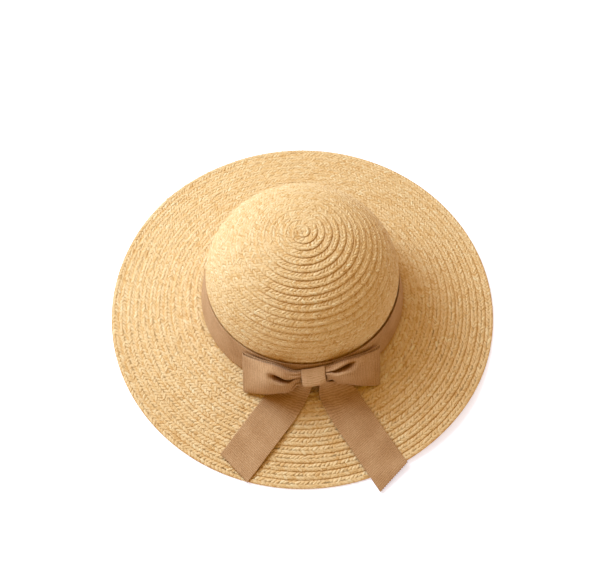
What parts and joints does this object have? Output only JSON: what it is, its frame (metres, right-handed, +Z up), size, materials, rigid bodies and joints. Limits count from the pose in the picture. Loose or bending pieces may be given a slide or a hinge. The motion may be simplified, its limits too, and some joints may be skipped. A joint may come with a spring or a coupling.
{
  "type": "straw hat with ribbon bow",
  "caption": "Wide-brimmed sun hat of sewn straw braid with a round crown, a ribbon band and a flat ribbon bow whose ends lie on the brim.",
  "frame": {"origin": "on the surface that the rim rests on, under the middle of the crown", "axes": "+Z up out of the crown's tip, -Y towards the bow at the front, +X to the wearer's left, which is the right of the picture"},
  "size_m": [0.38, 0.3939, 0.1206],
  "materials": {
    "straw": "sewn paper-straw braid, satin",
    "ribbon": "ribbed camel ribbon, matt"
  },
  "bodies": {
    "root": {"crown_dome": "straw", "crown_side": "straw", "brim": "straw", "hat_band": "ribbon", "bow_loops": "ribbon", "bow_knot": "ribbon", "tail_left": "ribbon", "tail_right": "ribbon"}
  },
  "joints": []
}
